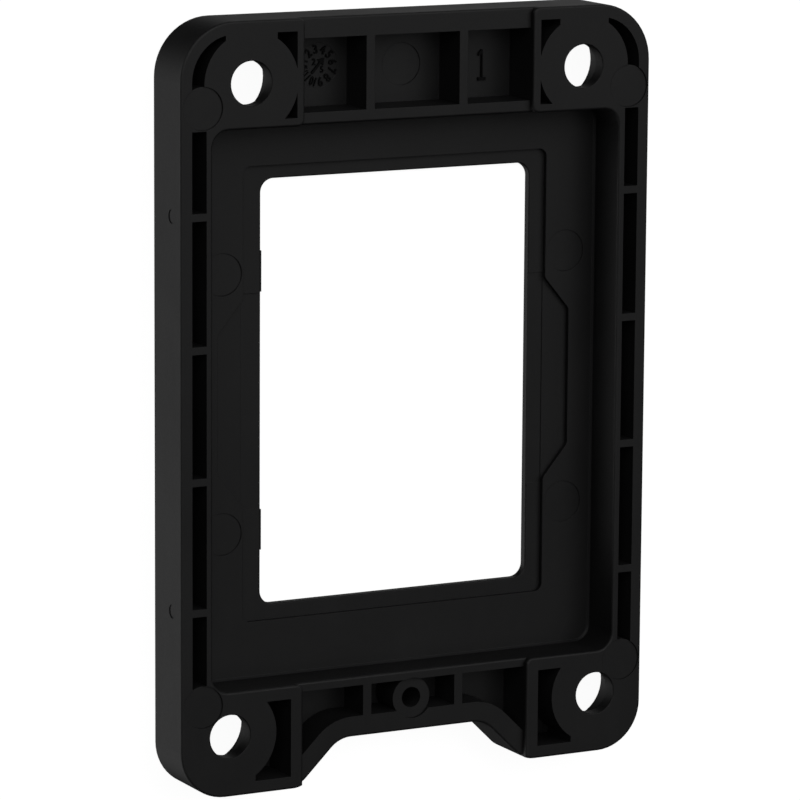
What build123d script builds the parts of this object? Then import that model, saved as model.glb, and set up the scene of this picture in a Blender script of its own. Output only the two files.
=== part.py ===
"""Processor socket retention frame, one injection moulding in black plastic.

The smooth back face lies on Z = 0 and the ribbed side faces +Z. The long side
runs along Y, the short one along X. The origin is the middle of the back face.
All sizes in millimetres.
"""
from build123d import *
import os

os.makedirs("parts", exist_ok=True)

# Outline
WIDTH = 75.0  # along X
LENGTH = 110.6  # along Y
THICKNESS = 9.0  # back face to the corner pads
CORNER_R = 7.0  # lower corners
CORNER_TOP_R = 8.3
EDGE_R = 0.35  # soft edge round every outer face
RAIL_L = 15.2  # end rails and corner pads, along Y
RAIL_DROP = 1.0  # end rails lie this much below the pads

# Walls and floor
FLOOR = 2.0  # floor left under every pocket
SIDE_WALL = 1.8  # outer wall along the long sides
SLOT = 2.2  # cored slot inside that wall
LINER = 0.95  # thin wall between slot and tub
END_WALL = 3.0  # outer wall of the end rails
TOP_WEB = 1.75  # wall between the top rail's pockets and the tub
BOTTOM_WEB = 1.35
RIB = 1.1  # cross ribs of the side slots
RIB_PITCH = 18.75
RAIL_RIB = 1.35  # ribs across both end rails
RAIL_RIB_X = 7.45
DRAFT = 1.0  # degrees on the pockets of the top rail
TUB_R = 2.5  # corners of the tub that the package sits in
TUB_FOOT = 0.3  # bevel between its walls and its floor

# Corner pads
PAD_X = 18.25  # middle of the frame to the inner side of a pad
PAD_CORNER = 1.0
PAD_END_WALL = 1.85  # outer wall of a pad
PAD_WEB_TOP = 1.2  # walls round the pockets in a pad
PAD_WEB_BOTTOM = 1.95

# Mounting holes, a narrow pair on top and a wide pair below
BORE_D = 6.3
BORE_EDGE = 0.1
LAND = 2.2  # web that the screw head pulls on
HEAD_D = 10.8  # head pocket on the back
HEAD_LEAD = 1.4  # lead-in of the head pocket
HEAD_SIDE_TOP = 4.15  # wall from a lead-in to the long side
HEAD_SIDE_BOTTOM = 0.9
HEAD_END = 2.0  # wall from a lead-in to the short side
BOSS_WALL = 4.15  # boss round the bore on the ribbed side
BOSS_NECK = 8.0  # width over which the boss meets the pad's outer wall

# Ejector marks, all slightly sunk
PIN_D = 6.1
PIN_DEPTH = 0.2  # on the pads
PIN_SIDE = 0.4  # mark to the long side
PIN_TOP = 12.0  # mark to the short side
PIN_BOTTOM = 13.5
FLOOR_PIN_DEPTH = 0.13
FLOOR_PIN_SIDE = 4.8  # centre to the tub wall
FLOOR_PIN_PITCH = 37.4
RAIL_PIN_X = 0.5  # mark in the middle pocket of the top rail
RAIL_PIN_END = 5.0  # its centre to the end wall

# Round date insert in the pocket beside it
DATE_D = 6.4
DATE_DEPTH = 0.05
DATE_RIB = 4.7  # centre to the rib
DATE_END = 4.6  # centre to the end wall

# Floor left round the window, and the shallow recess in it
LEDGE_LEFT = 11.2
LEDGE_RIGHT = 10.5
LEDGE_TOP = 8.2
LEDGE_BOTTOM = 10.4
WINDOW_R = 2.0
WINDOW_EDGE = 0.15
WINDOW_LIP = 0.2  # two small lips on the left edge
WINDOW_LIP_L = 5.9
RECESS = 0.8
RECESS_SIDE = 8.05  # tub wall to the recess
RECESS_TOP = 6.2
RECESS_BOTTOM = 8.2
RECESS_R = 1.2
FLARE = 4.0  # the recess is this much wider beside the middle
FLARE_L = 20.2
FLARE_SLOPE = 4.8
STEP = 0.15  # the middle of the recess is a little deeper
STEP_L = 31.2

# Hollow locating post in the bottom rail, sunk below the rail's face
NECK_D = 6.0
NECK_BORE = 3.0
NECK_DROP = 0.6
NECK_WEB = 1.15  # post to the tub

# Arch cut out of the bottom edge
ARCH_FLAT = 23.6
ARCH_FOOT = 36.5
ARCH_H = 6.35
ARCH_WALL = 3.0
ARCH_R = 4.5
FOOT_R = 3.5

# Two gate marks on the left wall
GATE_D = 2.0
GATE_DEPTH = 0.15
GATE_Z = 6.0

half_w = WIDTH / 2
half_l = LENGTH / 2
rail_z = THICKNESS - RAIL_DROP
slot_out = half_w - SIDE_WALL
slot_in = slot_out - SLOT
tub_x = slot_in - LINER
tub_y = half_l - RAIL_L
recess_z = FLOOR - RECESS
pad_end = half_l - PAD_END_WALL
rail_end = half_l - END_WALL
arch_y = -half_l + ARCH_H
neck_y = -tub_y - NECK_WEB - NECK_D / 2
neck_z = rail_z - NECK_DROP
lead_r = HEAD_D / 2 + HEAD_LEAD
boss_r = BORE_D / 2 + BOSS_WALL
hole_y = half_l - HEAD_END - lead_r
hole_top_x = half_w - HEAD_SIDE_TOP - lead_r
hole_bottom_x = half_w - HEAD_SIDE_BOTTOM - lead_r
holes = [(s * hole_top_x, hole_y) for s in (-1, 1)] + [(s * hole_bottom_x, -hole_y) for s in (-1, 1)]
pin_x = half_w - PIN_SIDE - PIN_D / 2
pins = [(s * pin_x, y) for s in (-1, 1) for y in (half_l - PIN_TOP, PIN_BOTTOM - half_l)]
floor_pin_y = FLOOR_PIN_PITCH / 2
floor_pins = [(s * (tub_x - FLOOR_PIN_SIDE), t * floor_pin_y) for s in (-1, 1) for t in (-1, 1)]
window_left = LEDGE_LEFT - tub_x
window_w = tub_x - LEDGE_RIGHT - window_left
window_l = 2 * tub_y - LEDGE_TOP - LEDGE_BOTTOM
window_at = (window_left + window_w / 2, (LEDGE_BOTTOM - LEDGE_TOP) / 2)
pad_plane = Plane.XY.offset(THICKNESS)
rail_plane = Plane.XY.offset(rail_z)
floor_plane = Plane.XY.offset(FLOOR)


def outline(side, end):
    """Outline of the frame, drawn in by its side and end walls."""
    with BuildSketch(mode=Mode.PRIVATE) as shape:
        Rectangle(2 * (half_w - side), 2 * (half_l - end))
        fillet(shape.vertices().group_by(Axis.Y)[-1], CORNER_TOP_R - side)
        fillet(shape.vertices().group_by(Axis.Y)[0], CORNER_R - side)
    return shape.sketch


# Void of the arch, its crest rounded, carried past the bottom edge
with BuildSketch() as arch:
    slope = (ARCH_FOOT - ARCH_FLAT) / 2 / ARCH_H
    below = -half_l - ARCH_WALL
    with BuildLine():
        foot_x = ARCH_FLAT / 2 + (arch_y - below) * slope
        crest_x = ARCH_FLAT / 2
        Polyline((-foot_x, below), (-crest_x, arch_y), (crest_x, arch_y), (foot_x, below), close=True)
    make_face()
    fillet(vertices().group_by(Axis.Y)[-1], ARCH_R)


# Outline with the arch taken out and its feet rounded
with BuildSketch() as body:
    add(outline(0, 0))
    add(arch.sketch, mode=Mode.SUBTRACT)
    fillet(vertices().group_by(Axis.Y)[0].sort_by(lambda v: abs(v.X))[:2], FOOT_R)


with BuildPart() as pads:
    # Corner pads joined by the side rails, they stand proud of the end rails
    with BuildSketch(floor_plane):
        for x in (-1, 1):
            for y, past in ((1, 0), (-1, PAD_CORNER)):
                with Locations((x * (PAD_X + half_w), y * (tub_y + half_l + past) / 2)):
                    RectangleRounded(WIDTH, RAIL_L + past, PAD_CORNER)
        with Locations((-(tub_x + half_w) / 2, 0), ((tub_x + half_w) / 2, 0)):
            Rectangle(half_w - tub_x, 2 * hole_y)
        with GridLocations(2 * tub_x, 2 * tub_y, 2, 2):
            Rectangle(2 * TUB_R, 2 * TUB_R)
        add(body.sketch, mode=Mode.INTERSECT)
        RectangleRounded(2 * tub_x, 2 * tub_y, TUB_R, mode=Mode.SUBTRACT)
    extrude(amount=THICKNESS - FLOOR)
    fillet(faces().filter_by(Axis.Z).sort_by(Axis.Z)[-2:].edges(), EDGE_R)


with BuildPart() as retention_frame:
    # Block up to the end rails, with the tub in it
    with BuildSketch():
        add(body.sketch)
    extrude(amount=rail_z)
    with BuildSketch(rail_plane):
        RectangleRounded(2 * tub_x, 2 * tub_y, TUB_R)
    extrude(amount=FLOOR - rail_z, mode=Mode.SUBTRACT)
    tub_floor = faces().filter_by(Axis.Z).filter_by(lambda f: abs(f.center().Z - FLOOR) < 0.001)
    chamfer(tub_floor.edges(), TUB_FOOT)
    rail_top = faces().filter_by(Axis.Z).filter_by(lambda f: f.center().Z > FLOOR + EDGE_R)
    fillet(rail_top.edges(), EDGE_R)
    fillet(faces().sort_by(Axis.Z)[0].edges(), EDGE_R)
    add(pads.part)

    # Pockets in the corner pads leave a boss round each hole and a post under
    # each ejector mark. The side slots run into the same posts.
    with BuildSketch(pad_plane):
        for x in (-1, 1):
            for y, web in ((1, PAD_WEB_TOP), (-1, PAD_WEB_BOTTOM)):
                with Locations((x * (PAD_X + web + slot_out) / 2, y * (tub_y + web + pad_end) / 2)):
                    Rectangle(slot_out - PAD_X - web, pad_end - tub_y - web)
        slot_x = (slot_in + slot_out) / 2
        with Locations((-slot_x, 0), (slot_x, 0)):
            Rectangle(SLOT, 2 * tub_y)
        add(outline(SIDE_WALL, PAD_END_WALL), mode=Mode.INTERSECT)
        with Locations(*holes):
            Circle(boss_r, mode=Mode.SUBTRACT)
        for x, y in holes:
            with Locations((x, (y + y / hole_y * half_l) / 2)):
                Rectangle(BOSS_NECK, half_l - hole_y, mode=Mode.SUBTRACT)
        with Locations(*pins):
            Circle(PIN_D / 2, mode=Mode.SUBTRACT)
        for x, y in pins:
            hole_x = x / pin_x * (hole_top_x if y > 0 else hole_bottom_x)
            with Locations(((hole_x + x) / 2, y - y / abs(y) * PIN_D / 4)):
                Rectangle(abs(x - hole_x), PIN_D / 2, mode=Mode.SUBTRACT)
        with GridLocations(2 * slot_x, RIB_PITCH, 2, 4):
            Rectangle(SLOT + 1, RIB, mode=Mode.SUBTRACT)
    extrude(amount=FLOOR - THICKNESS, mode=Mode.SUBTRACT)

    # Three pockets in the top rail
    inner = RAIL_RIB_X - RAIL_RIB / 2
    outer = RAIL_RIB_X + RAIL_RIB / 2
    pocket_y = (tub_y + TOP_WEB + rail_end) / 2
    pocket_l = rail_end - tub_y - TOP_WEB
    with BuildSketch(rail_plane):
        with Locations((0, pocket_y)):
            Rectangle(2 * inner, pocket_l)
        with Locations(*[(x * (outer + PAD_X) / 2, pocket_y) for x in (-1, 1)]):
            Rectangle(PAD_X - outer, pocket_l)
    extrude(amount=FLOOR - rail_z, taper=DRAFT, mode=Mode.SUBTRACT)

    # Pockets of the bottom rail follow the arch and leave room for the post
    with BuildSketch(rail_plane):
        web_y = -tub_y - BOTTOM_WEB
        with Locations((0, (web_y - rail_end) / 2)):
            Rectangle(2 * PAD_X, web_y + rail_end)
        add(offset(arch.sketch, ARCH_WALL, mode=Mode.PRIVATE), mode=Mode.SUBTRACT)
        with GridLocations(2 * RAIL_RIB_X, 1, 2, 1):
            Rectangle(RAIL_RIB, LENGTH, mode=Mode.SUBTRACT)
        with Locations((0, neck_y)):
            Circle(NECK_D / 2, mode=Mode.SUBTRACT)
    extrude(amount=FLOOR - rail_z, mode=Mode.SUBTRACT)
    with BuildSketch(floor_plane):
        with Locations((0, neck_y)):
            Circle(NECK_D / 2)
    extrude(amount=rail_z - FLOOR)
    with BuildSketch(rail_plane):
        with Locations((0, neck_y)):
            Circle(NECK_D / 2)
    extrude(amount=neck_z - rail_z, mode=Mode.SUBTRACT)
    with Locations((0, neck_y, neck_z)):
        Hole(NECK_BORE / 2, neck_z - FLOOR)

    # Shallow recess, wider beside the middle, with its deeper middle
    recess_x = tub_x - RECESS_SIDE
    with BuildSketch(floor_plane):
        with BuildLine():
            wide = FLARE_L / 2
            half = [
                (recess_x, tub_y - RECESS_TOP),
                (recess_x, wide + FLARE_SLOPE),
                (recess_x + FLARE, wide),
                (recess_x + FLARE, -wide),
                (recess_x, -wide - FLARE_SLOPE),
                (recess_x, RECESS_BOTTOM - tub_y),
            ]
            Polyline(half + [(-x, y) for x, y in reversed(half)], close=True)
        make_face()
        fillet(vertices(), RECESS_R)
    extrude(amount=-RECESS, mode=Mode.SUBTRACT)
    with BuildSketch(Plane.XY.offset(recess_z)):
        Rectangle(2 * recess_x, STEP_L)
    extrude(amount=-STEP, mode=Mode.SUBTRACT)

    # Window with two lips on its left edge
    with BuildSketch():
        with Locations(window_at):
            RectangleRounded(window_w, window_l, WINDOW_R)
        lip_x = window_left + WINDOW_LIP / 2
        with Locations((lip_x, -floor_pin_y), (lip_x, floor_pin_y)):
            Rectangle(WINDOW_LIP, WINDOW_LIP_L, mode=Mode.SUBTRACT)
    extrude(amount=FLOOR, mode=Mode.SUBTRACT)
    with BuildSketch(Plane.XY.offset(recess_z)):
        with Locations(window_at):
            RectangleRounded(window_w + 2 * WINDOW_EDGE, window_l + 2 * WINDOW_EDGE, WINDOW_R + WINDOW_EDGE)
    extrude(amount=-WINDOW_EDGE, taper=45, mode=Mode.SUBTRACT)

    # Mounting holes with head pockets on the back
    with Locations(*[(x, y, 0) for x, y in holes]):
        Hole(BORE_D / 2)
    with BuildSketch():
        with Locations(*holes):
            Circle(HEAD_D / 2)
    extrude(amount=THICKNESS - LAND, mode=Mode.SUBTRACT)
    circles = edges().filter_by(GeomType.CIRCLE)
    leads = circles.filter_by(lambda e: e.center().Z < 0.001 and abs(e.radius - HEAD_D / 2) < 0.001)
    chamfer(leads, HEAD_LEAD)
    mouths = circles.filter_by(lambda e: e.center().Z > THICKNESS - 0.001 and abs(e.radius - BORE_D / 2) < 0.001)
    chamfer(mouths, BORE_EDGE)

    # Marks left by the ejector pins, the date insert and the gates
    with BuildSketch(pad_plane):
        with Locations(*pins):
            Circle(PIN_D / 2)
    extrude(amount=-PIN_DEPTH, mode=Mode.SUBTRACT)
    with BuildSketch(floor_plane):
        with Locations(*floor_pins, (RAIL_PIN_X, rail_end - RAIL_PIN_END)):
            Circle(PIN_D / 2)
    extrude(amount=-FLOOR_PIN_DEPTH, mode=Mode.SUBTRACT)
    with BuildSketch(floor_plane):
        with Locations((-outer - DATE_RIB, rail_end - DATE_END)):
            Circle(DATE_D / 2)
    extrude(amount=-DATE_DEPTH, mode=Mode.SUBTRACT)
    with BuildSketch(Plane.YZ.offset(-half_w)):
        with Locations(*[(y, GATE_Z) for y in (-1.5 * RIB_PITCH, 1.5 * RIB_PITCH)]):
            Circle(GATE_D / 2)
    extrude(amount=GATE_DEPTH, mode=Mode.SUBTRACT)

retention_frame.part.label = "retention_frame"
export_step(retention_frame.part, "parts/retention_frame.step")
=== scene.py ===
"""Looks of a moulded processor socket retention frame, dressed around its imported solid."""

import logging
import math
from dataclasses import dataclass
from enum import Enum

import bmesh
import bpy
from mathutils import Matrix, Vector


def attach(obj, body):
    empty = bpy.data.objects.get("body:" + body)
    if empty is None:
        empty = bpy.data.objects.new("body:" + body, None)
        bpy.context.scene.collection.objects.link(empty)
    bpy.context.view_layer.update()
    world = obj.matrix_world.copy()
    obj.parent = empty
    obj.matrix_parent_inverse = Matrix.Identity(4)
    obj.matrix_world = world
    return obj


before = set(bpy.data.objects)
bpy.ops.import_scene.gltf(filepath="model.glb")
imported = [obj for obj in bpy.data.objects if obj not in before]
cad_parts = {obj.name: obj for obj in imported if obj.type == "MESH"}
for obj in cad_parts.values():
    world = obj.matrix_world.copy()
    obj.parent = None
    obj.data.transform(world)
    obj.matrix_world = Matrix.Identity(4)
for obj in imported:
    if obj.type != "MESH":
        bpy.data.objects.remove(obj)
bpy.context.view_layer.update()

LOG = logging.getLogger("retention_frame")
MM = 0.001
NODE = "retention_frame"
BODY = "root"
WHITE = (1.0, 1.0, 1.0, 1.0)
FLOAT = "NodeSocketFloat"
VECTOR = "NodeSocketVector"

Socket = bpy.types.NodeSocket
Colour = tuple[float, float, float]
Spot = tuple[float, float]


class Ray(Enum):
    """Kinds of ray that the white surroundings tell apart, each by its Light Path output."""

    CAMERA = "Is Camera Ray"
    GLOSSY = "Is Glossy Ray"
    TRANSMISSION = "Is Transmission Ray"


class ToolSurface(Enum):
    """How the steel that shaped a surface was finished."""

    SPARK_ERODED = "spark_eroded"
    ENGRAVED = "engraved"


class NodeTree:
    """A thin writer for one shader node tree."""

    def __init__(self, tree: bpy.types.NodeTree) -> None:
        """Takes over a tree and empties it.

        Args:
            tree: the node tree of a material, world or node group.
        """
        self.tree = tree
        self.tree.nodes.clear()

    def add(self, kind: str, settings: dict[str, object] | None = None,
            inputs: dict[str | int, object] | None = None) -> bpy.types.Node:
        """Adds a node, sets its properties and fills its inputs.

        Args:
            kind: the node's Blender type.
            settings: properties of the node itself.
            inputs: a value, or an output socket to link, for each input named.

        Returns:
            The new node.
        """
        node = self.tree.nodes.new(kind)
        for key, value in (settings or {}).items():
            setattr(node, key, value)
        for key, value in (inputs or {}).items():
            self.feed(node.inputs[key], value)
        return node

    def feed(self, socket: Socket, value: object) -> None:
        """Links an output to a socket, or sets the socket's own value.

        Args:
            socket: the input to fill.
            value: an output socket or a plain value.
        """
        if isinstance(value, Socket):
            self.tree.links.new(value, socket)
        else:
            socket.default_value = value

    def math(self, operation: str, *values: object, clamp: bool = False) -> Socket:
        """Adds a Math node and returns its output.

        Args:
            operation: the Math node's operation.
            *values: one to three values or sockets.
            clamp: whether the result is held between 0 and 1.

        Returns:
            The node's Value output.
        """
        node = self.add("ShaderNodeMath", {"operation": operation, "use_clamp": clamp})
        for socket, value in zip(node.inputs, values):
            self.feed(socket, value)
        return node.outputs["Value"]

    def vector(self, operation: str, *values: object, output: str = "Vector") -> Socket:
        """Adds a Vector Math node and returns one of its outputs.

        Args:
            operation: the Vector Math node's operation.
            *values: vectors, numbers or sockets for its inputs.
            output: the name of the output wanted.

        Returns:
            The socket of that name.
        """
        node = self.add("ShaderNodeVectorMath", {"operation": operation})
        for socket, value in zip(node.inputs, values):
            self.feed(socket, value)
        return node.outputs[output]

    def remap(self, value: Socket, low: float, high: float, to_low: float = 0.0,
              to_high: float = 1.0, smooth: bool = False) -> Socket:
        """Stretches a range of values onto another, held at its ends.

        Args:
            value: the socket to read.
            low: the value that becomes to_low.
            high: the value that becomes to_high.
            to_low: the first end of the new range.
            to_high: the second end of the new range.
            smooth: whether the ends are eased.

        Returns:
            The remapped value.
        """
        kind = "SMOOTHSTEP" if smooth else "LINEAR"
        node = self.add("ShaderNodeMapRange", {"interpolation_type": kind, "clamp": True},
                        {"Value": value, "From Min": low, "From Max": high,
                         "To Min": to_low, "To Max": to_high})
        return node.outputs["Result"]

    def mix_colour(self, factor: object, first: object, second: object) -> Socket:
        """Blends two colours.

        Args:
            factor: how much of the second colour shows.
            first: a colour or a socket.
            second: a colour or a socket.

        Returns:
            The blended colour.
        """
        node = self.add("ShaderNodeMix", {"data_type": "RGBA", "blend_type": "MIX"})
        # Each name belongs to a socket of every data type, so the colours' go by their places.
        self.feed(node.inputs[0], factor)
        self.feed(node.inputs[6], first)
        self.feed(node.inputs[7], second)
        return node.outputs[2]

    def noise(self, where: object, per_metre: object, detail: float = 2.0,
              roughness: float = 0.5, distortion: float = 0.0) -> Socket:
        """Adds a Noise Texture and returns its value.

        Args:
            where: the coordinates to read.
            per_metre: how many blobs fit in a metre.
            detail: octaves of finer noise.
            roughness: weight of the finer octaves.
            distortion: how far the pattern is swirled.

        Returns:
            The noise value, about 0.5 on average.
        """
        node = self.add("ShaderNodeTexNoise", None,
                        {"Vector": where, "Scale": per_metre, "Detail": detail,
                         "Roughness": roughness, "Distortion": distortion})
        return node.outputs[0]

    def coordinates(self) -> Socket:
        """Returns the coordinates that are fixed to the object, in metres."""
        return self.add("ShaderNodeTexCoord").outputs["Object"]

    def sway(self, level: Socket, noise: Socket, amount: float) -> Socket:
        """Moves a level up and down with a noise that is 0.5 on average.

        Args:
            level: the level to move.
            noise: the noise.
            amount: how far the level moves between a noise of 0 and of 1.

        Returns:
            The moved level.
        """
        return self.math("MULTIPLY_ADD", noise, amount, self.math("SUBTRACT", level, amount / 2))


def grey(level: float) -> tuple[float, float, float, float]:
    """Returns the opaque grey of a brightness.

    Args:
        level: the brightness.
    """
    return (level, level, level, 1.0)


class EffectGroup:
    """A shader node group that several materials share.

    Attributes:
        name: the group's name.
        inputs: names of its inputs, each of them a plain number.
        outputs: names of its outputs, each with its kind of socket.
    """

    name: str = ""
    inputs: tuple[str, ...] = ()
    outputs: tuple[tuple[str, str], ...] = ()

    def __init__(self) -> None:
        """Builds the group once, with its sockets."""
        self.group = bpy.data.node_groups.new(self.name, "ShaderNodeTree")
        for label in self.inputs:
            self.group.interface.new_socket(label, in_out="INPUT", socket_type=FLOAT)
        for label, kind in self.outputs:
            self.group.interface.new_socket(label, in_out="OUTPUT", socket_type=kind)
        self.nodes = NodeTree(self.group)
        self.entry = self.nodes.add("NodeGroupInput").outputs
        self.exit = self.nodes.add("NodeGroupOutput").inputs
        self.build()

    def build(self) -> None:
        """Fills the group. Each effect writes its own."""
        raise NotImplementedError

    def place(self, tree: NodeTree, values: dict[str, object]) -> bpy.types.Node:
        """Puts the group in a material.

        Args:
            tree: the material's node tree.
            values: a value or socket for each of the group's inputs.

        Returns:
            The group node.
        """
        node = tree.add("ShaderNodeGroup", {"node_tree": self.group})
        for label, value in values.items():
            tree.feed(node.inputs[label], value)
        return node


class MouldGrain(EffectGroup):
    """The fine texture that the tool steel leaves in the plastic, over a slow waviness.

    Attributes:
        pits_per_grain: how many pits there are to a blob of the grain, along a line.
        pit_softness: how far neighbouring pits run into each other.
    """

    name = "mould_grain"
    inputs = ("Grain Per Metre", "Pits", "Wave Per Metre", "Wave")
    outputs = (("Height", FLOAT), ("Fine", FLOAT), ("Slow", FLOAT))
    pits_per_grain = 0.62
    pit_softness = 0.6

    def build(self) -> None:
        """Adds a fine noise, small rounded pits and a slow wave into one height."""
        n, entry = self.nodes, self.entry
        place = n.coordinates()
        fine = n.noise(place, entry["Grain Per Metre"], detail=3.0, roughness=0.6)
        pit_scale = n.math("MULTIPLY", entry["Grain Per Metre"], self.pits_per_grain)
        cells = n.add("ShaderNodeTexVoronoi", {"feature": "SMOOTH_F1"},
                      {"Vector": place, "Scale": pit_scale, "Smoothness": self.pit_softness})
        pits = n.remap(cells.outputs["Distance"], low=0.05, high=0.55, smooth=True)
        slow = n.noise(place, entry["Wave Per Metre"], roughness=0.45)
        pitted = n.math("MULTIPLY", pits, entry["Pits"])
        waved = n.math("MULTIPLY", slow, entry["Wave"])
        n.feed(self.exit["Height"], n.math("ADD", n.math("ADD", fine, pitted), waved))
        n.feed(self.exit["Fine"], fine)
        n.feed(self.exit["Slow"], slow)


class FillerBloom(EffectGroup):
    """The faint grey mottling and flow streaks of a filled plastic.

    Attributes:
        flow: scale of the coordinates that draws the streaks out along the part's Y axis.
        streaks_per_blotch: how many streaks there are to a blotch, along a line.
        blotch_share: weight of the blotches.
        streak_share: weight of the streaks, before the input of that name.
    """

    name = "filler_bloom"
    inputs = ("Blotch Per Metre", "Streaks")
    outputs = (("Mask", FLOAT),)
    flow = (1.0, 0.16, 1.0)
    streaks_per_blotch = 9.0
    blotch_share = 0.7
    streak_share = 0.6

    def build(self) -> None:
        """Mixes swirled blotches with streaks drawn out along the flow."""
        n, entry = self.nodes, self.entry
        place = n.coordinates()
        blotch = n.noise(place, entry["Blotch Per Metre"], detail=3.0, roughness=0.58,
                         distortion=0.9)
        drawn = n.vector("MULTIPLY", place, self.flow)
        streak_scale = n.math("MULTIPLY", entry["Blotch Per Metre"], self.streaks_per_blotch)
        streak = n.noise(drawn, streak_scale, detail=3.0, roughness=0.55, distortion=0.3)
        wide = n.remap(blotch, low=0.36, high=0.68, smooth=True)
        thin = n.remap(streak, low=0.44, high=0.74, smooth=True)
        weight = n.math("MULTIPLY", entry["Streaks"], self.streak_share)
        mixed = n.math("MULTIPLY_ADD", thin, weight, n.math("MULTIPLY", wide, self.blotch_share))
        n.feed(self.exit["Mask"], n.math("MINIMUM", mixed, 1.0, clamp=True))


class EdgePolish(EffectGroup):
    """Finds the edges and softens their normals, and gives a mask along them that a painted
    highlight follows.

    Attributes:
        samples: how many rays look for an edge from each point.
    """

    name = "edge_bevel_and_sheen"
    inputs = ("Radius", "Gain", "Break Up Per Metre")
    outputs = (("Mask", FLOAT), ("Normal", VECTOR))
    samples = 4

    def build(self) -> None:
        """Compares a rounded normal with the real one and breaks the result up with noise."""
        n, entry = self.nodes, self.entry
        rounded = n.add("ShaderNodeBevel", {"samples": self.samples}, {"Radius": entry["Radius"]})
        real = n.add("ShaderNodeNewGeometry").outputs["Normal"]
        along = n.vector("DOT_PRODUCT", rounded.outputs["Normal"], real, output="Value")
        turned = n.math("MULTIPLY", n.math("SUBTRACT", 1.0, along), entry["Gain"], clamp=True)
        uneven = n.noise(n.coordinates(), entry["Break Up Per Metre"], detail=3.0, roughness=0.6)
        broken = n.remap(uneven, low=0.3, high=0.62, to_low=0.35)
        n.feed(self.exit["Mask"], n.math("MULTIPLY", turned, broken))
        n.feed(self.exit["Normal"], rounded.outputs["Normal"])


class HandlingMarks(EffectGroup):
    """Hair-fine rub marks from trays and packing.

    Attributes:
        strokes: turn of each set of marks in radians, and how many fit in a metre.
        stretch: scale of the coordinates that makes the marks long and thin.
        patches_per_metre: how many patches of rub marks fit in a metre.
    """

    name = "handling_marks"
    inputs = ("Amount",)
    outputs = (("Mask", FLOAT),)
    strokes = ((0.45, 1560.0), (-0.8, 2040.0))
    stretch = (1.0, 0.045, 1.0)
    patches_per_metre = 70.0

    def build(self) -> None:
        """Crosses the sets of long thin noise and keeps their crests."""
        n, entry = self.nodes, self.entry
        place = n.coordinates()
        marks = []
        for turn, per_metre in self.strokes:
            turned = n.add("ShaderNodeVectorRotate", {"rotation_type": "Z_AXIS"},
                           {"Vector": place, "Angle": turn}).outputs["Vector"]
            drawn = n.vector("MULTIPLY", turned, self.stretch)
            marks.append(n.remap(n.noise(drawn, per_metre), low=0.69, high=0.78, smooth=True))
        patch = n.remap(n.noise(place, self.patches_per_metre), low=0.5, high=0.66, smooth=True)
        both = n.math("MULTIPLY", n.math("MAXIMUM", *marks), patch)
        n.feed(self.exit["Mask"], n.math("MULTIPLY", both, entry["Amount"], clamp=True))


@dataclass(frozen=True)
class Effects:
    """The shared shader groups, built once."""

    grain: EffectGroup
    bloom: EffectGroup
    edge: EffectGroup
    marks: EffectGroup

    @classmethod
    def build(cls) -> "Effects":
        """Builds every shared group and returns them together."""
        return cls(MouldGrain(), FillerBloom(), EdgePolish(), HandlingMarks())


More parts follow.
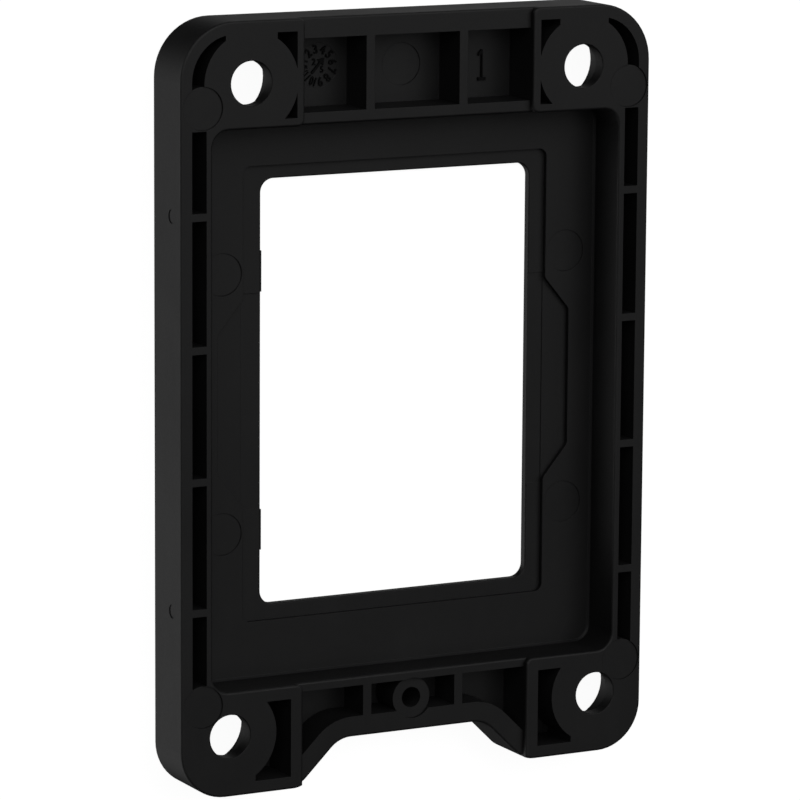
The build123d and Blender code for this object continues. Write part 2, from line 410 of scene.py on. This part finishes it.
@dataclass(frozen=True)
class PinMarks:
    """Round faces that the ejector pins leave, with the rings of their turned ends and a thin
    groove round each, into which a shade is painted that is darkest on one side.

    Heights and depths are given as shares of the material's grain depth.

    Attributes:
        centres: middle of each pin face in the plane of the part, in millimetres.
        radius: radius of a pin face in millimetres.
        face_roughness: roughness that a pin face adds.
        ring_pitch: distance between two turning rings in millimetres.
        ring_height: height of the rings.
        rim: half of the width of the groove and its painted shade round a pin face, in
            millimetres.
        core: share of that half width in which the line is full.
        lean: direction in which the line is deepest and its painted shade darkest, in degrees from
            the part's +X axis.
        shift: how far the middles are moved back to find the deep side, in millimetres.
        shallow: share of the line that is left on the other side.
        gaps_per_metre: how many thin places of the line fit in a metre.
        line_tone: colour of the painted shade at the bottom of the line.
        line_cover: how much of that painted shade shows.
        line_roughness: roughness that the line adds.
        line_depth: depth of the line.
    """

    centres: tuple[Spot, ...]
    radius: float = 3.05
    face_roughness: float = -0.03
    ring_pitch: float = 0.16
    ring_height: float = 0.22
    rim: float = 0.09
    core: float = 0.35
    lean: float = -30.0
    shift: float = 0.5
    shallow: float = 0.1
    gaps_per_metre: float = 300.0
    line_tone: Colour = (0.001, 0.001, 0.001)
    line_cover: float = 0.8
    line_roughness: float = 0.3
    line_depth: float = 2.0

    def write(self, tree: NodeTree) -> tuple[Socket, Socket, Socket]:
        """Draws the pin faces into a material.

        Args:
            tree: the material's node tree.

        Returns:
            A mask of the pin faces, the height of their rings and a mask of the lines round them,
            which carries their groove and its painted shade.
        """
        place = tree.coordinates()
        flat = tree.vector("MULTIPLY", place, (1.0, 1.0, 0.0))
        nearest = self.distance(tree, flat, 0.0)
        mask = tree.math("LESS_THAN", nearest, self.radius * MM)
        phase = tree.math("MULTIPLY", nearest, math.tau / (self.ring_pitch * MM))
        rings = tree.math("MULTIPLY", tree.math("SINE", phase), mask)
        off = tree.math("ABSOLUTE", tree.math("SUBTRACT", nearest, self.radius * MM))
        line = tree.remap(off, low=self.core * self.rim * MM, high=self.rim * MM,
                          to_low=1.0, to_high=0.0, smooth=True)
        uneven = tree.noise(place, self.gaps_per_metre)
        broken = tree.remap(uneven, low=0.34, high=0.56, to_low=0.35)
        # Painted shade: the line is made deeper and darker on the side towards lean than on the
        # other.
        side = tree.math("SUBTRACT", self.distance(tree, flat, self.shift), nearest)
        deep = tree.remap(side, low=-0.1 * MM, high=0.3 * MM, to_low=self.shallow, smooth=True)
        return mask, rings, tree.math("MULTIPLY", tree.math("MULTIPLY", line, broken), deep)

    def distance(self, tree: NodeTree, where: object, back: float) -> Socket:
        """Measures how far a point is from the nearest pin's middle.

        Args:
            tree: the material's node tree.
            where: the point, flat in the plane of the part.
            back: how far the middles are moved against the lean, in millimetres.

        Returns:
            The distance in metres.
        """
        turn = math.radians(self.lean)
        nearest = None
        for x, y in self.centres:
            middle = ((x - back * math.cos(turn)) * MM, (y - back * math.sin(turn)) * MM, 0.0)
            away = tree.vector("DISTANCE", where, middle, output="Value")
            nearest = away if nearest is None else tree.math("MINIMUM", nearest, away)
        return nearest

    def work_in(self, tree: NodeTree, open_face: Socket, colour: Socket, rough: Socket,
                height: Socket) -> tuple[Socket, Socket, Socket]:
        """Works the pin faces into a surface, on its open faces only.

        Args:
            tree: the material's node tree.
            open_face: mask of the open faces.
            colour: the surface's colour.
            rough: its roughness.
            height: its height.

        Returns:
            The colour, roughness and height with the pin faces in them.
        """
        mask, rings, line = self.write(tree)
        mask = tree.math("MULTIPLY", mask, open_face)
        line = tree.math("MULTIPLY", line, open_face)
        # Painted shade: the groove round each pin face is darkened in colour.
        colour = tree.mix_colour(tree.math("MULTIPLY", line, self.line_cover), colour,
                                 (*self.line_tone, 1.0))
        rough = tree.math("MULTIPLY_ADD", line, self.line_roughness, rough)
        rough = tree.math("MULTIPLY_ADD", mask, self.face_roughness, rough)
        rings = tree.math("MULTIPLY", rings, open_face)
        height = tree.math("MULTIPLY_ADD", rings, self.ring_height, height)
        height = tree.math("MULTIPLY_ADD", line, -self.line_depth, height)
        return colour, rough, height


@dataclass(frozen=True)
class ToolTexture:
    """What one finish of the tool steel leaves on the plastic.

    Attributes:
        grain_per_metre: how many blobs of the grain fit in a metre.
        pits: depth of the pits, as a share of the grain depth.
        wave: height of the slow waviness, as a share of the grain depth.
        rubs: how much of the handling marks shows.
    """

    grain_per_metre: float
    pits: float
    wave: float
    rubs: float


TEXTURES = {
    ToolSurface.SPARK_ERODED: ToolTexture(grain_per_metre=3000.0, pits=0.45, wave=0.8, rubs=0.5),
    ToolSurface.ENGRAVED: ToolTexture(grain_per_metre=5200.0, pits=0.1, wave=0.3, rubs=0.1),
}


@dataclass(frozen=True)
class MouldedPlastic:
    """Black moulded plastic: dark resin, a grey filler haze, tool grain, softened edges and a
    painted highlight along the edges.

    Attributes:
        name: the material's name.
        surface: how the steel that shaped it was finished.
        resin: colour of the plain resin.
        haze: colour where the filler shows.
        edge_tone: colour of the painted highlight along edges, and of handling marks.
        haze_amount: how much of the haze shows.
        edge_amount: how much of the painted edge highlight shows.
        rub_amount: how much of that tone shows in a handling mark.
        roughness: roughness of the faces along the mould's opening.
        side_roughness: roughness of the drawn walls.
        fine_sway: how far the roughness moves with the grain.
        slow_sway: how far it moves with the waviness.
        haze_roughness: roughness that the haze adds.
        rub_roughness: roughness that the painted edge highlight or a handling mark adds.
        least_roughness: what the roughness never falls below.
        specular: specular level of the resin.
        edge_radius: radius that edges are softened to, in millimetres.
        edge_gain: how soon a turning edge gets the painted highlight.
        edge_gaps_per_metre: how many places where the edge highlight is weaker fit in a metre.
        blotch_per_metre: how many blotches of the haze fit in a metre.
        streaks: how much of the flow streaks shows.
        wave_per_metre: how many slow waves fit in a metre.
        grain_depth: height of the tool grain, in millimetres.
        rub_depth: depth of a handling mark, as a share of the grain depth.
        bump: how strongly the heights turn the light.
        pins: the ejector pin faces, if the surface has any.
    """

    name: str
    surface: ToolSurface
    resin: Colour = (0.005, 0.005, 0.0052)
    haze: Colour = (0.009, 0.009, 0.0091)
    edge_tone: Colour = (0.013, 0.013, 0.013)
    haze_amount: float = 0.6
    edge_amount: float = 0.35
    rub_amount: float = 0.5
    roughness: float = 0.5
    side_roughness: float = 0.52
    fine_sway: float = 0.14
    slow_sway: float = 0.08
    haze_roughness: float = 0.07
    rub_roughness: float = -0.08
    least_roughness: float = 0.2
    specular: float = 0.22
    edge_radius: float = 0.09
    edge_gain: float = 3.2
    edge_gaps_per_metre: float = 380.0
    blotch_per_metre: float = 48.0
    streaks: float = 0.5
    wave_per_metre: float = 75.0
    grain_depth: float = 0.012
    rub_depth: float = 0.4
    bump: float = 0.55
    pins: PinMarks | None = None

    def build(self, effects: Effects) -> bpy.types.Material:
        """Makes the material.

        Args:
            effects: the shared shader groups.

        Returns:
            The finished material.
        """
        material = bpy.data.materials.new(self.name)
        material.use_nodes = True
        tree = NodeTree(material.node_tree)
        texture = TEXTURES[self.surface]
        grain = effects.grain.place(tree, {
            "Grain Per Metre": texture.grain_per_metre, "Pits": texture.pits,
            "Wave Per Metre": self.wave_per_metre, "Wave": texture.wave}).outputs
        bloom = effects.bloom.place(tree, {
            "Blotch Per Metre": self.blotch_per_metre, "Streaks": self.streaks}).outputs["Mask"]
        edge = effects.edge.place(tree, {
            "Radius": self.edge_radius * MM, "Gain": self.edge_gain,
            "Break Up Per Metre": self.edge_gaps_per_metre}).outputs
        marks = effects.marks.place(tree, {"Amount": texture.rubs}).outputs["Mask"]

        hazy = tree.mix_colour(tree.math("MULTIPLY", bloom, self.haze_amount),
                               (*self.resin, 1.0), (*self.haze, 1.0))
        # Painted highlight: edges, concave as well as convex, are lightened in colour; the real
        # handling marks share that tone.
        painted_edge_sheen = tree.math("MULTIPLY", edge["Mask"], self.edge_amount)
        rubs_and_edge_sheen = tree.math("MAXIMUM", painted_edge_sheen, tree.math("MULTIPLY", marks, self.rub_amount))
        colour = tree.mix_colour(rubs_and_edge_sheen, hazy, (*self.edge_tone, 1.0))

        facing = tree.add("ShaderNodeSeparateXYZ", None, {
            "Vector": tree.add("ShaderNodeNewGeometry").outputs["Normal"]}).outputs["Z"]
        open_face = tree.remap(tree.math("ABSOLUTE", facing), low=0.3, high=0.8, smooth=True)
        base = tree.remap(open_face, low=0.0, high=1.0, to_low=self.side_roughness,
                          to_high=self.roughness)
        rough = tree.sway(base, grain["Fine"], self.fine_sway)
        rough = tree.math("MULTIPLY_ADD", bloom, self.haze_roughness, rough)
        rough = tree.sway(rough, grain["Slow"], self.slow_sway)
        rough = tree.math("MULTIPLY_ADD", rubs_and_edge_sheen, self.rub_roughness, rough)
        height = grain["Height"]
        if self.pins is not None:
            colour, rough, height = self.pins.work_in(tree, open_face, colour, rough, height)
        height = tree.math("MULTIPLY_ADD", marks, -self.rub_depth, height)
        bump = tree.add("ShaderNodeBump", None, {
            "Strength": self.bump, "Distance": self.grain_depth * MM, "Height": height,
            "Normal": edge["Normal"]})
        rough = tree.math("MAXIMUM", rough, self.least_roughness, clamp=True)
        shader = tree.add("ShaderNodeBsdfPrincipled", None, {
            "Base Color": colour, "Roughness": rough, "Specular IOR Level": self.specular,
            "Normal": bump.outputs["Normal"]})
        tree.add("ShaderNodeOutputMaterial", None, {"Surface": shader.outputs["BSDF"]})
        return material


@dataclass(frozen=True)
class StudioFloor:
    """A plain white floor that shows the object's shadow.

    Attributes:
        half_side: half of the floor's side in metres.
        glow: brightness that every part of the floor has for the camera.
        albedo: share of the lamps' light that the camera sees on top, which the shadow takes away.
        bounce: colour of the floor for any other ray.
    """

    half_side: float = 4.0
    glow: float = 0.95
    albedo: float = 0.13
    bounce: float = 0.8

    def material(self) -> bpy.types.Material:
        """Makes the floor's material and returns it."""
        material = bpy.data.materials.new("studio_floor_white")
        material.use_nodes = True
        tree = NodeTree(material.node_tree)
        path = tree.add("ShaderNodeLightPath").outputs
        seen = tree.math("MAXIMUM", path[Ray.CAMERA.value], path[Ray.GLOSSY.value])
        seen = tree.math("MAXIMUM", seen, path[Ray.TRANSMISSION.value])
        plain = tree.add("ShaderNodeBsdfDiffuse", None, {"Color": grey(self.bounce)})
        shaded = tree.add("ShaderNodeBsdfDiffuse", None, {"Color": grey(self.albedo)})
        lit = tree.add("ShaderNodeEmission", None, {"Color": WHITE, "Strength": self.glow})
        white = tree.add("ShaderNodeAddShader", None, {0: shaded.outputs[0], 1: lit.outputs[0]})
        top = tree.add("ShaderNodeMixShader", None,
                       {0: seen, 1: plain.outputs[0], 2: white.outputs[0]})
        under = tree.add("ShaderNodeNewGeometry").outputs["Backfacing"]
        clear = tree.add("ShaderNodeBsdfTransparent")
        both = tree.add("ShaderNodeMixShader", None,
                        {0: under, 1: top.outputs[0], 2: clear.outputs[0]})
        tree.add("ShaderNodeOutputMaterial", None, {"Surface": both.outputs[0]})
        return material

    def build(self) -> None:
        """Makes the floor under the part, which the part's diffuse and glossy rays pass through
        and which casts no shadow.
        """
        mesh = bpy.data.meshes.new("studio_floor")
        corners = [(x * self.half_side, y * self.half_side, 0.0)
                   for x, y in ((-1, -1), (1, -1), (1, 1), (-1, 1))]
        mesh.from_pydata(corners, [], [(0, 1, 2, 3)])
        floor = bpy.data.objects.new("studio_floor", mesh)
        bpy.context.scene.collection.objects.link(floor)
        mesh.materials.append(self.material())
        floor.visible_diffuse = floor.visible_glossy = floor.visible_shadow = False
        LOG.info("floor: %.1f m a side", 2 * self.half_side)


@dataclass(frozen=True)
class StudioLight:
    """A square soft lamp aimed at the part.

    Attributes:
        name: the lamp's name.
        towards: direction from the part to the lamp.
        level: share of full light that the lamp puts on a face turned to it, were it small.
        side: side of the lamp in metres.
        distance: distance from the part in metres.
    """

    name: str
    towards: tuple[float, float, float]
    level: float
    side: float = 1.4
    distance: float = 1.6

    def build(self) -> None:
        """Makes the lamp.

        A small lamp of power P lights a face turned to it by P / (pi * distance ** 2), and full
        light on a face is pi.
        """
        light = bpy.data.lights.new(self.name, "AREA")
        light.shape, light.size = "SQUARE", self.side
        light.energy = self.level * math.pi * math.pi * self.distance ** 2
        lamp = bpy.data.objects.new(self.name, light)
        aim = Vector(self.towards).normalized()
        lamp.location = aim * self.distance
        lamp.rotation_mode = "QUATERNION"
        lamp.rotation_quaternion = aim.to_track_quat("Z", "Y")
        bpy.context.scene.collection.objects.link(lamp)
        LOG.info("lamp %s: level %.2f", self.name, self.level)


@dataclass(frozen=True)
class SoftPatch:
    """A round patch of light in the studio, soft to its rim.

    Attributes:
        name: the patch's name.
        azimuth: its direction round the part, in degrees from the part's +X axis.
        elevation: its height above the floor's plane, in degrees.
        level: brightness of its middle.
    """

    name: str
    azimuth: float
    elevation: float
    level: float

    def way(self) -> Vector:
        """Returns the direction of the patch's middle."""
        turn, tilt = math.radians(self.azimuth), math.radians(self.elevation)
        across = math.cos(tilt)
        return Vector((across * math.cos(turn), across * math.sin(turn), math.sin(tilt)))


@dataclass(frozen=True)
class StudioWorld:
    """A dim studio with panels overhead, a pale floor's light from below and a white backdrop.

    Attributes:
        patches: the panels and the lit stretches of floor.
        spread: angle from the middle of a patch to its rim, in degrees.
    """

    patches: tuple[SoftPatch, ...] = (
        SoftPatch("ceiling", 0.0, 90.0, 0.62),
        SoftPatch("upper_panel", 90.0, 52.0, 0.31),
        SoftPatch("floor_upper_right", 40.0, -30.0, 0.80),
        SoftPatch("floor_left", 180.0, -30.0, 1.40),
        SoftPatch("floor_lower_left", 220.0, -30.0, 1.40),
    )
    spread: float = 38.0

    def build(self) -> None:
        """Makes the world and gives it to the scene."""
        world = bpy.data.worlds.new("studio_world")
        world.use_nodes = True
        tree = NodeTree(world.node_tree)
        way = tree.add("ShaderNodeTexCoord").outputs["Generated"]
        rim = math.cos(math.radians(self.spread))
        total = None
        for patch in self.patches:
            near = tree.vector("DOT_PRODUCT", way, tuple(patch.way()), output="Value")
            light = tree.remap(near, low=rim, high=1.0, to_high=patch.level, smooth=True)
            total = light if total is None else tree.math("ADD", total, light)
            LOG.info("patch %s: level %.2f", patch.name, patch.level)
        path = tree.add("ShaderNodeLightPath").outputs
        seen = tree.math("MAXIMUM", path[Ray.CAMERA.value], path[Ray.TRANSMISSION.value])
        colour = tree.mix_colour(seen, total, WHITE)
        background = tree.add("ShaderNodeBackground", None, {"Color": colour, "Strength": 1.0})
        tree.add("ShaderNodeOutputWorld", None, {"Surface": background.outputs[0]})
        bpy.context.scene.world = world


@dataclass(frozen=True)
class StudioCamera:
    """The camera, above and to the left of the part, looking down on its ribbed side.

    Attributes:
        yaw: turn about the part's long axis, in radians.
        pitch: tilt about its short axis, in radians.
        roll: turn about the line of sight, in radians.
        offset: where the line of sight passes the middle of the part, in millimetres.
        distance: distance along the line of sight, in millimetres.
        plane: height of the plane that the distance is taken from, in millimetres.
        lens: focal length in millimetres.
        sensor: sensor width in millimetres.
        clip: nearest and farthest distance that is seen, in metres.
    """

    yaw: float = 0.4831
    pitch: float = 0.1786
    roll: float = -0.0068
    offset: Spot = (2.64, 0.23)
    distance: float = 702.57
    plane: float = 9.0
    lens: float = 221.01
    sensor: float = 36.0
    clip: tuple[float, float] = (0.01, 20.0)

    def build(self) -> None:
        """Makes the camera and gives it to the scene."""
        turn = (Matrix.Rotation(-self.yaw, 3, "Y") @ Matrix.Rotation(-self.pitch, 3, "X")
                @ Matrix.Rotation(-self.roll, 3, "Z"))
        eye = turn @ Vector((-self.offset[0], -self.offset[1], self.distance))
        eye.z += self.plane
        data = bpy.data.cameras.new("studio_camera")
        data.lens, data.sensor_width = self.lens, self.sensor
        data.clip_start, data.clip_end = self.clip
        camera = bpy.data.objects.new("studio_camera", data)
        camera.matrix_world = Matrix.Translation(eye * MM) @ turn.to_4x4()
        bpy.context.scene.collection.objects.link(camera)
        bpy.context.scene.camera = camera


@dataclass
class Studio:
    """Floor, lamps, world and camera.

    Attributes:
        floor: the floor.
        world: the dim surround with its soft patches and white backdrop.
        camera: the camera.
        lamps: the soft lamps.
    """

    floor: StudioFloor = StudioFloor()
    world: StudioWorld = StudioWorld()
    camera: StudioCamera = StudioCamera()
    lamps: tuple[StudioLight, ...] = (
        StudioLight("right_lamp", (0.435, 0.435, 0.788), 0.37),
        StudioLight("left_lamp", (-0.435, 0.435, 0.788), 0.32),
    )

    def build(self) -> None:
        """Sets the scene up for a plain, neutral view."""
        bpy.context.scene.view_settings.view_transform = "Standard"
        self.floor.build()
        self.world.build()
        self.camera.build()
        for lamp in self.lamps:
            lamp.build()


class RaisedFigures:
    """Makes numbers that stand proud of a face, as a mould engraving leaves them.

    Attributes:
        swell: how much the strokes of letters are thickened, as a share of the letter size.
        curve_steps: how many straight pieces stand for a curved piece of a letter's outline.
        weld: distance within which two corners are one, as a share of the letter size.
        level_gap: height difference up to which a corner counts as on top, in metres.
        sharp: least angle between the faces of an edge that is chamfered, in radians.
    """

    swell = 0.014
    curve_steps = 6
    weld = 1e-5
    level_gap = 1e-7
    sharp = 0.7

    def __init__(self, rise: float, sunk: float = 0.03, edge: float = 0.02) -> None:
        """Sets how the figures stand.

        Args:
            rise: how far they stand above their face, in millimetres.
            sunk: how far they reach into it, in millimetres.
            edge: greatest width of the chamfer round the tops of letters, in millimetres.
        """
        self.rise, self.sunk, self.edge = rise, sunk, edge

    def letters(self, text: str) -> bmesh.types.BMesh:
        """Makes the letters of a text at letter size 1, one unit thick.

        Args:
            text: the text.

        Returns:
            The letters' mesh.
        """
        curve = bpy.data.curves.new("figure", "FONT")
        curve.body, curve.size = text, 1.0
        curve.resolution_u = self.curve_steps
        curve.offset = self.swell
        curve.extrude = 0.5
        holder = bpy.data.objects.new("figure", curve)
        bpy.context.scene.collection.objects.link(holder)
        bpy.context.view_layer.update()
        ready = holder.evaluated_get(bpy.context.evaluated_depsgraph_get())
        mesh = bpy.data.meshes.new_from_object(ready)
        shape = bmesh.new()
        shape.from_mesh(mesh)
        bpy.data.objects.remove(holder)
        bpy.data.curves.remove(curve)
        bpy.data.meshes.remove(mesh)
        bmesh.ops.remove_doubles(shape, verts=shape.verts, dist=self.weld)
        return shape

    def outline(self, text: str, height: float) -> bmesh.types.BMesh:
        """Makes one number, centred on the plane z = 0, with its thickness and chamfer.

        Args:
            text: the number.
            height: height of its figures in millimetres.

        Returns:
            The number's mesh, in metres.
        """
        shape = self.letters(text)
        low = Vector([min(v.co[i] for v in shape.verts) for i in range(3)])
        high = Vector([max(v.co[i] for v in shape.verts) for i in range(3)])
        scale = height * MM / (high.y - low.y)
        thick = (self.rise + self.sunk) * MM
        for vert in shape.verts:
            vert.co = Vector(((vert.co.x - (low.x + high.x) / 2) * scale,
                              (vert.co.y - (low.y + high.y) / 2) * scale,
                              -self.sunk * MM + thick * (vert.co.z - low.z)))
        self.chamfer(shape)
        return shape

    def prism(self, plan: tuple[Spot, ...]) -> bmesh.types.BMesh:
        """Raises a drawn outline to the figures' thickness, with plain upper edges.

        Args:
            plan: the outline's corners in millimetres, anticlockwise.

        Returns:
            The mesh, in metres; the face that it stands on is the plane z = 0.
        """
        shape = bmesh.new()
        low = [shape.verts.new((x * MM, y * MM, -self.sunk * MM)) for x, y in plan]
        high = [shape.verts.new((x * MM, y * MM, self.rise * MM)) for x, y in plan]
        shape.faces.new(high)
        shape.faces.new(low[::-1])
        for i, vert in enumerate(low):
            j = (i + 1) % len(low)
            shape.faces.new((vert, low[j], high[j], high[i]))
        return shape

    def chamfer(self, shape: bmesh.types.BMesh) -> None:
        """Breaks the upper edges of a letter, as far as its strokes leave room.

        Args:
            shape: the letter's mesh.
        """
        top = self.rise * MM
        rim = [e for e in shape.edges
               if all(abs(v.co.z - top) < self.level_gap for v in e.verts)
               and len(e.link_faces) == 2 and e.calc_face_angle(0.0) > self.sharp]
        bmesh.ops.bevel(shape, geom=rim, offset=self.edge * MM, segments=1, affect="EDGES",
                        profile=0.5, clamp_overlap=True)

    def finish(self, parts: list[bmesh.types.BMesh], name: str,
               material: bpy.types.Material) -> None:
        """Joins the figures into one piece on the part.

        Args:
            parts: the figures, each in its place.
            name: the piece's name.
            material: its finish.
        """
        whole = bpy.data.meshes.new(name)
        joined = bmesh.new()
        for part in parts:
            step = bpy.data.meshes.new("step")
            part.to_mesh(step)
            joined.from_mesh(step)
            bpy.data.meshes.remove(step)
            part.free()
        bmesh.ops.recalc_face_normals(joined, faces=joined.faces)
        joined.to_mesh(whole)
        joined.free()
        whole.materials.append(material)
        piece = bpy.data.objects.new(name, whole)
        bpy.context.scene.collection.objects.link(piece)
        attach(piece, BODY)
        LOG.info("piece %s: %d faces", name, len(whole.polygons))


@dataclass
class DateClock:
    """A month dial from a mould insert: the numbers 1 to 12 in a ring round an arrow.

    Widths of letters are given as shares of the letters' own width.

    Attributes:
        centre: middle of the dial in millimetres.
        face: height of the face that it stands on, in millimetres.
        rise: how far the figures stand up, in millimetres.
        months: how many numbers there are.
        first: direction of the last number, from which they count, in degrees from +X.
        ring: radius of the ring of numbers, in millimetres.
        figure: height of the numbers, in millimetres.
        single: width of the numbers of one letter.
        double: width of the numbers of two letters.
        pointing: direction of the arrow, in degrees from +X.
        arrow: length of the arrow, in millimetres.
        stem: half of the width of its stem, in millimetres.
        head: length of its head, in millimetres.
        barb: half of the width of its head, in millimetres.
        pair: the two small figures beside the arrow.
        pair_height: their height in millimetres.
        pair_width: their width.
        pair_gap: distance from the arrow's middle line to each of them, in millimetres.
    """

    centre: Spot = (-12.825, 47.7)
    face: float = 1.95
    rise: float = 0.26
    months: int = 12
    first: float = 190.0
    ring: float = 2.35
    figure: float = 1.3
    single: float = 0.85
    double: float = 0.62
    pointing: float = 48.0
    arrow: float = 2.9
    stem: float = 0.17
    head: float = 0.9
    barb: float = 0.6
    pair: tuple[str, str] = ("2", "5")
    pair_height: float = 0.95
    pair_width: float = 0.8
    pair_gap: float = 0.85

    def shift(self, radius: float = 0.0, angle: float = 0.0) -> Matrix:
        """Works out the move from the origin to a place on the dial.

        Args:
            radius: distance of the place from the dial's middle, in millimetres.
            angle: its direction, in radians from +X.

        Returns:
            The move, in metres.
        """
        spot = Vector((self.centre[0] + radius * math.cos(angle),
                       self.centre[1] + radius * math.sin(angle), self.face)) * MM
        return Matrix.Translation(spot)

    def numbers(self, figures: RaisedFigures) -> list[bmesh.types.BMesh]:
        """Makes the numbers of the months, heads outwards, clockwise.

        Args:
            figures: the maker of raised figures.

        Returns:
            The numbers in their places.
        """
        parts = []
        for month in range(1, self.months + 1):
            text = str(month)
            angle = math.radians(self.first - 360.0 / self.months * month)
            width = self.single if len(text) == 1 else self.double
            shape = figures.outline(text, self.figure)
            shape.transform(self.shift(self.ring, angle)
                            @ Matrix.Rotation(angle - math.pi / 2, 4, "Z")
                            @ Matrix.Diagonal((width, 1.0, 1.0, 1.0)))
            parts.append(shape)
        return parts

    def pointer(self, figures: RaisedFigures) -> bmesh.types.BMesh:
        """Makes the arrow in the middle.

        Args:
            figures: the maker of raised figures.

        Returns:
            The arrow in its place.
        """
        tip = self.arrow / 2
        neck = tip - self.head
        shape = figures.prism(((-tip, -self.stem), (neck, -self.stem), (neck, -self.barb),
                               (tip, 0.0), (neck, self.barb), (neck, self.stem),
                               (-tip, self.stem)))
        shape.transform(self.shift() @ Matrix.Rotation(math.radians(self.pointing), 4, "Z"))
        return shape

    def beside(self, figures: RaisedFigures) -> list[bmesh.types.BMesh]:
        """Makes the two figures beside the arrow, upright.

        Args:
            figures: the maker of raised figures.

        Returns:
            The figures in their places.
        """
        parts = []
        for text, side in zip(self.pair, (1, -1)):
            away = math.radians(self.pointing + 90.0 * side)
            shape = figures.outline(text, self.pair_height)
            shape.transform(self.shift(self.pair_gap, away)
                            @ Matrix.Diagonal((self.pair_width, 1.0, 1.0, 1.0)))
            parts.append(shape)
        return parts

    def build(self, material: bpy.types.Material) -> None:
        """Makes the whole dial as one piece.

        Args:
            material: the finish of the raised figures, darker than the frame as painted shade.
        """
        figures = RaisedFigures(self.rise)
        parts = [*self.numbers(figures), self.pointer(figures), *self.beside(figures)]
        figures.finish(parts, "date_clock_figures", material)


@dataclass
class CavityNumber:
    """The raised figure 1 that tells the mould's cavities apart.

    Attributes:
        centre: middle of the figure in millimetres.
        face: height of the face that it stands on, in millimetres.
        rise: how far it stands up, in millimetres.
        height: its height in millimetres.
        stem: width of its stem in millimetres.
        foot: width of its foot in millimetres.
        bar: height of the foot and thickness of the flag, in millimetres.
        flag_tip: how far the flag's tip hangs below the top, in heights of the bar.
        flag_root: how far it hangs where it leaves the stem, in heights of the bar.
    """

    centre: Spot = (13.5, 46.6)
    face: float = 2.0
    rise: float = 0.35
    height: float = 4.5
    stem: float = 0.21
    foot: float = 1.2
    bar: float = 0.48
    flag_tip: float = 1.9
    flag_root: float = 1.5

    def build(self, material: bpy.types.Material) -> None:
        """Makes the figure as one piece.

        Args:
            material: the finish of the raised figure, darker than the frame as painted shade.
        """
        figures = RaisedFigures(self.rise)
        top, stem, foot = self.height / 2, self.stem / 2, self.foot / 2
        step = self.bar - top
        shape = figures.prism((
            (-foot, -top), (foot, -top), (foot, step), (stem, step), (stem, top), (-stem, top),
            (-foot, top - self.bar), (-foot, top - self.flag_tip * self.bar),
            (-stem, top - self.flag_root * self.bar), (-stem, step), (-foot, step)))
        shape.transform(Matrix.Translation(Vector((*self.centre, self.face)) * MM))
        figures.finish([shape], "cavity_number", material)


@dataclass
class FrameBody:
    """The moulded frame itself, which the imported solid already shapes.

    Attributes:
        pad_pins: ejector pin faces on the corner pads, in millimetres.
        floor_pins: ejector pin faces on the tub floor, in millimetres.
        pocket_pin: ejector pin face in the middle pocket, in millimetres.
    """

    pad_pins: tuple[Spot, ...] = ((34.05, 43.3), (-34.05, 43.3), (34.05, -41.8), (-34.05, -41.8))
    floor_pins: tuple[Spot, ...] = ((27.75, 18.7), (-27.75, 18.7), (27.75, -18.7), (-27.75, -18.7))
    pocket_pin: Spot = (0.5, 47.3)

    def dress(self, effects: Effects) -> None:
        """Gives the solid its finish.

        Args:
            effects: the shared shader groups.
        """
        pins = PinMarks((*self.pad_pins, *self.floor_pins, self.pocket_pin))
        material = MouldedPlastic("satin_black_plastic", ToolSurface.SPARK_ERODED,
                                  pins=pins).build(effects)
        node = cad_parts[NODE]
        for holder in node.material_slots:
            holder.link = "OBJECT"
            holder.material = material
        LOG.info("piece %s: %d faces", NODE, len(node.data.polygons))


def main() -> None:
    """Builds the studio, dresses the frame and adds its raised figures."""
    logging.basicConfig(level=logging.INFO, format="%(name)s: %(message)s")
    Studio().build()
    effects = Effects.build()
    FrameBody().dress(effects)
    # Painted shade: the raised figures are the frame's plastic, made darker in colour and less
    # shiny so that they read as in shade.
    engraved = MouldedPlastic("raised_figure_plastic_painted_dark", ToolSurface.ENGRAVED,
                              resin=(0.0016, 0.0016, 0.0017), haze=(0.004, 0.004, 0.004),
                              haze_amount=0.3, side_roughness=0.5, specular=0.07,
                              edge_radius=0.03, grain_depth=0.006).build(effects)
    DateClock().build(engraved)
    CavityNumber().build(engraved)


if __name__ == "__main__":
    main()
